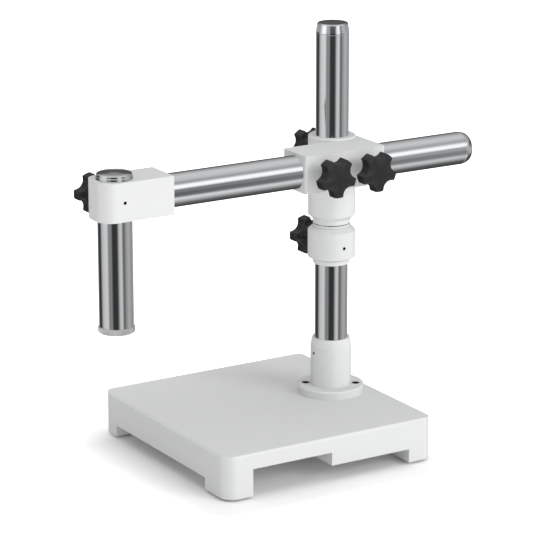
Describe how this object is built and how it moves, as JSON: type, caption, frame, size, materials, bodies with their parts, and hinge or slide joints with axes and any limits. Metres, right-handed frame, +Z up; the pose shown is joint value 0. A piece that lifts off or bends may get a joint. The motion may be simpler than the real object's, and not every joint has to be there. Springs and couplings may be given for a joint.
{
  "type": "universal boom stand",
  "caption": "Boom stand for a stereo microscope: cast base, chromed column, stop collar, cross clamp, sliding boom and drop post, locked by star knobs.",
  "frame": {"origin": "on the bench under the middle of the bounding box", "axes": "+X is the operator's right, +Y points away from the operator along the boom, +Z is up along the column"},
  "size_m": [0.2396, 0.4096, 0.4115],
  "materials": {
    "white_paint": "gloss off-white stoved enamel on cast and machined metal",
    "chrome_tube": "hard chrome plate, mirror polished",
    "satin_aluminium": "turned and straight-knurled, satin anodised",
    "screw_steel": "zinc-plated steel",
    "blackened_steel": "black-oxide socket screws",
    "knob_plastic": "moulded fine-matt thermoplastic",
    "pad_brass": "turned brass",
    "foot_rubber": "soft light-grey elastomer"
  },
  "bodies": {
    "stand": {"base_plate": "white_paint", "foot_pads": "foot_rubber", "column_socket": "white_paint", "socket_screws": "blackened_steel", "socket_grub_screw": "blackened_steel", "column_tube": "chrome_tube", "column_cap": "chrome_tube"},
    "stop_collar": {"stop_collar": "white_paint", "collar_grub_screw": "blackened_steel"},
    "washer": {"thrust_washer": "screw_steel"},
    "cross_clamp": {"cross_clamp": "white_paint"},
    "boom": {"boom_tube": "chrome_tube", "boom_rear_cap": "chrome_tube", "boom_front_plug": "screw_steel", "boom_fixing_screw": "blackened_steel"},
    "end_block": {"end_block": "white_paint", "end_block_grub_screw": "blackened_steel"},
    "post_cap": {"drop_post_cap": "chrome_tube"},
    "drop_post": {"drop_post": "chrome_tube"},
    "end_ring": {"post_end_ring": "satin_aluminium"},
    "collar_lock_pad": {"collar_pad": "pad_brass"},
    "collar_lock_knob": {"collar_knob": "knob_plastic", "collar_stud": "screw_steel"},
    "column_lock_pad": {"column_pad": "pad_brass"},
    "column_lock_knob": {"column_knob": "knob_plastic", "column_stud": "screw_steel"},
    "boom_front_lock_pad": {"boom_pad_front": "pad_brass"},
    "boom_front_lock_knob": {"boom_knob_front": "knob_plastic", "boom_stud_front": "screw_steel"},
    "boom_rear_lock_pad": {"boom_pad_rear": "pad_brass"},
    "boom_rear_lock_knob": {"boom_knob_rear": "knob_plastic", "boom_stud_rear": "screw_steel"},
    "post_lock_pad": {"post_pad": "pad_brass"},
    "post_lock_knob": {"post_knob": "knob_plastic", "post_stud": "screw_steel"}
  },
  "joints": [
    {"name": "collar_height", "type": "slide", "parent": "stand", "child": "stop_collar", "axis": [0, 0, 1], "range_m": [-0.075, 0.056]},
    {"name": "clamp_lift", "type": "slide", "parent": "stop_collar", "child": "washer", "axis": [0, 0, 1], "range_m": [0, 0.04]},
    {"name": "arm_swivel", "type": "hinge", "parent": "washer", "child": "cross_clamp", "pos_m": [0, 0.07575, 0.216], "axis": [0, 0, 1], "continuous": true},
    {"name": "boom_slide", "type": "slide", "parent": "cross_clamp", "child": "boom", "axis": [0, 1, 0], "range_m": [-0.097, 0.139]},
    {"name": "boom_roll", "type": "hinge", "parent": "boom", "child": "end_block", "pos_m": [0.04025, -0.16225, 0.28225], "axis": [0, 1, 0], "continuous": true},
    {"name": "post_height", "type": "slide", "parent": "end_block", "child": "post_cap", "axis": [0, 0, 1], "range_m": [0, 0.101]},
    {"name": "post_turn", "type": "hinge", "parent": "post_cap", "child": "drop_post", "pos_m": [0.04025, -0.18325, 0.301], "axis": [0, 0, 1], "continuous": true},
    {"name": "ring_removal", "type": "slide", "parent": "drop_post", "child": "end_ring", "axis": [0, 0, 1], "range_m": [-0.101, 0]},
    {"name": "collar_pad_travel", "type": "slide", "parent": "stop_collar", "child": "collar_lock_pad", "axis": [-1, 0, 0], "range_m": [0, 0.0025]},
    {"name": "collar_knob_turn", "type": "hinge", "parent": "collar_lock_pad", "child": "collar_lock_knob", "pos_m": [-0.023, 0.07575, 0.19375], "axis": [-1, 0, 0], "range_deg": [0, 720]},
    {"name": "column_pad_travel", "type": "slide", "parent": "cross_clamp", "child": "column_lock_pad", "axis": [-1, 0, 0], "range_m": [0, 0.0025]},
    {"name": "column_knob_turn", "type": "hinge", "parent": "column_lock_pad", "child": "column_lock_knob", "pos_m": [-0.023, 0.07575, 0.28225], "axis": [-1, 0, 0], "range_deg": [0, 720]},
    {"name": "boom_front_pad_travel", "type": "slide", "parent": "cross_clamp", "child": "boom_front_lock_pad", "axis": [1, 0, 0], "range_m": [0, 0.0025]},
    {"name": "boom_front_knob_turn", "type": "hinge", "parent": "boom_front_lock_pad", "child": "boom_front_lock_knob", "pos_m": [0.0605, 0.02975, 0.28225], "axis": [1, 0, 0], "range_deg": [0, 720]},
    {"name": "boom_rear_pad_travel", "type": "slide", "parent": "cross_clamp", "child": "boom_rear_lock_pad", "axis": [1, 0, 0], "range_m": [0, 0.0025]},
    {"name": "boom_rear_knob_turn", "type": "hinge", "parent": "boom_rear_lock_pad", "child": "boom_rear_lock_knob", "pos_m": [0.0605, 0.07475, 0.28225], "axis": [1, 0, 0], "range_deg": [0, 720]},
    {"name": "post_pad_travel", "type": "slide", "parent": "end_block", "child": "post_lock_pad", "axis": [-1, 0, 0], "range_m": [0, 0.0025]},
    {"name": "post_knob_turn", "type": "hinge", "parent": "post_lock_pad", "child": "post_lock_knob", "pos_m": [0.02, -0.18325, 0.27925], "axis": [-1, 0, 0], "range_deg": [0, 720]}
  ],
  "couplings": [
    {"joint": "collar_pad_travel", "follows": "collar_knob_turn", "m_per_rad": 0.00019894},
    {"joint": "column_pad_travel", "follows": "column_knob_turn", "m_per_rad": 0.00019894},
    {"joint": "boom_front_pad_travel", "follows": "boom_front_knob_turn", "m_per_rad": 0.00019894},
    {"joint": "boom_rear_pad_travel", "follows": "boom_rear_knob_turn", "m_per_rad": 0.00019894},
    {"joint": "post_pad_travel", "follows": "post_knob_turn", "m_per_rad": 0.00019894}
  ]
}
